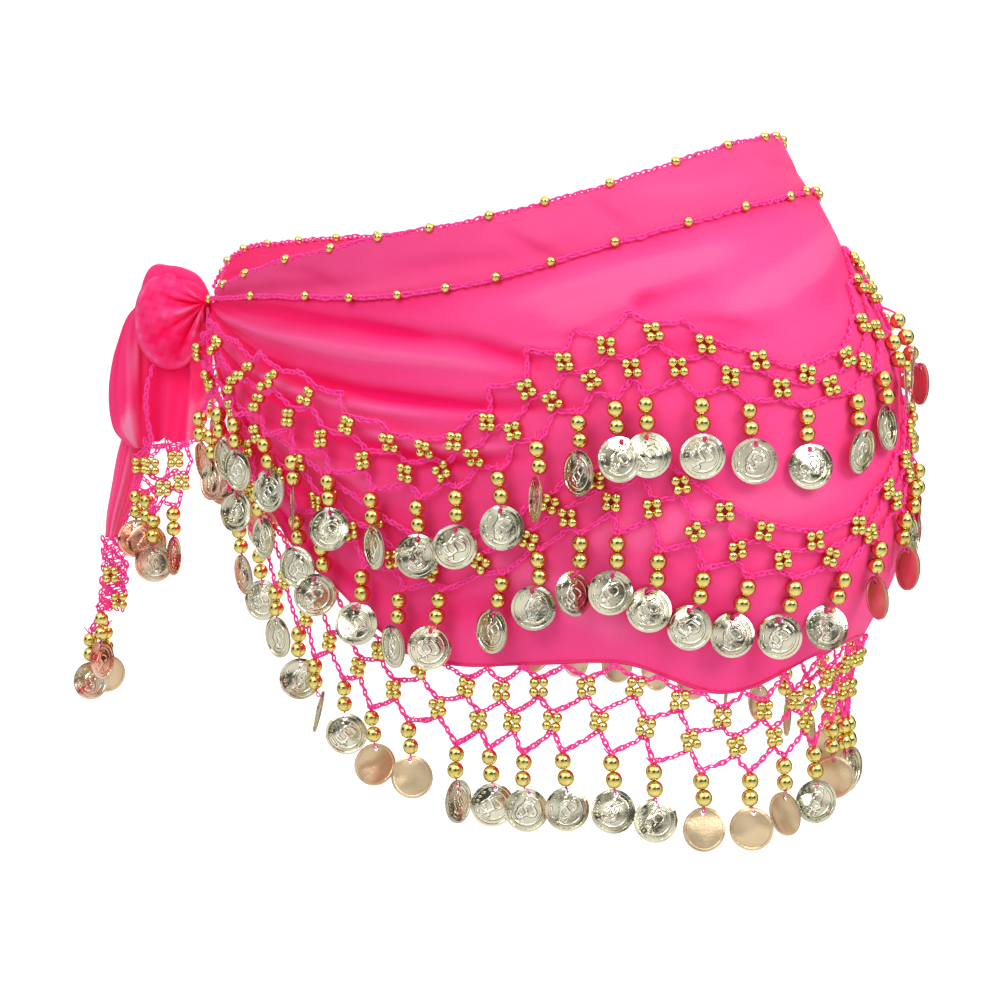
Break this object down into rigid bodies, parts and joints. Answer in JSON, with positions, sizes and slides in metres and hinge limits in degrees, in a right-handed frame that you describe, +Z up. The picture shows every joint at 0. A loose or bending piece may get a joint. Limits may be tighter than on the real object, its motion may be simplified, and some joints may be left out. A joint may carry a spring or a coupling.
{
  "type": "belly dance hip scarf",
  "caption": "Sheer chiffon hip scarf tied at the side, with crochet edgings, scalloped nets, gilt beads and hanging coin pendants.",
  "frame": {"origin": "middle of the waist hold: where the wearer's body holds the scarf, on the middle axis of the waist ring", "axes": "+Z up, +X the wearer's left, -Y the wearer's front"},
  "size_m": [0.3472, 0.2388, 0.2585],
  "materials": {
    "pink_chiffon": "sheer, softly glossy chiffon",
    "magenta_crochet": "matte crocheted yarn",
    "pale_gold": "polished, gilt beads and paler stamped coins"
  },
  "bodies": {
    "root": {"inner_stretch": "pink_chiffon", "outer_stretch": "pink_chiffon", "knot": "pink_chiffon", "knot_petal": "pink_chiffon", "bow_loop": "pink_chiffon", "long_tail": "pink_chiffon", "short_tail": "pink_chiffon", "top_edging": "magenta_crochet", "outer_edging": "magenta_crochet", "upper_net_left": "magenta_crochet", "upper_net_right": "magenta_crochet", "middle_net_left": "magenta_crochet", "middle_net_right": "magenta_crochet", "hem_net_left": "magenta_crochet", "hem_net_right": "magenta_crochet", "short_tail_net": "magenta_crochet", "long_tail_lace": "magenta_crochet", "upper_coins_left": "pale_gold", "upper_coins_right": "pale_gold", "middle_coins_left": "pale_gold", "middle_coins_right": "pale_gold", "hem_coins_left": "pale_gold", "hem_coins_right": "pale_gold", "short_tail_coins": "pale_gold", "long_tail_coins": "pale_gold"}
  },
  "joints": []
}
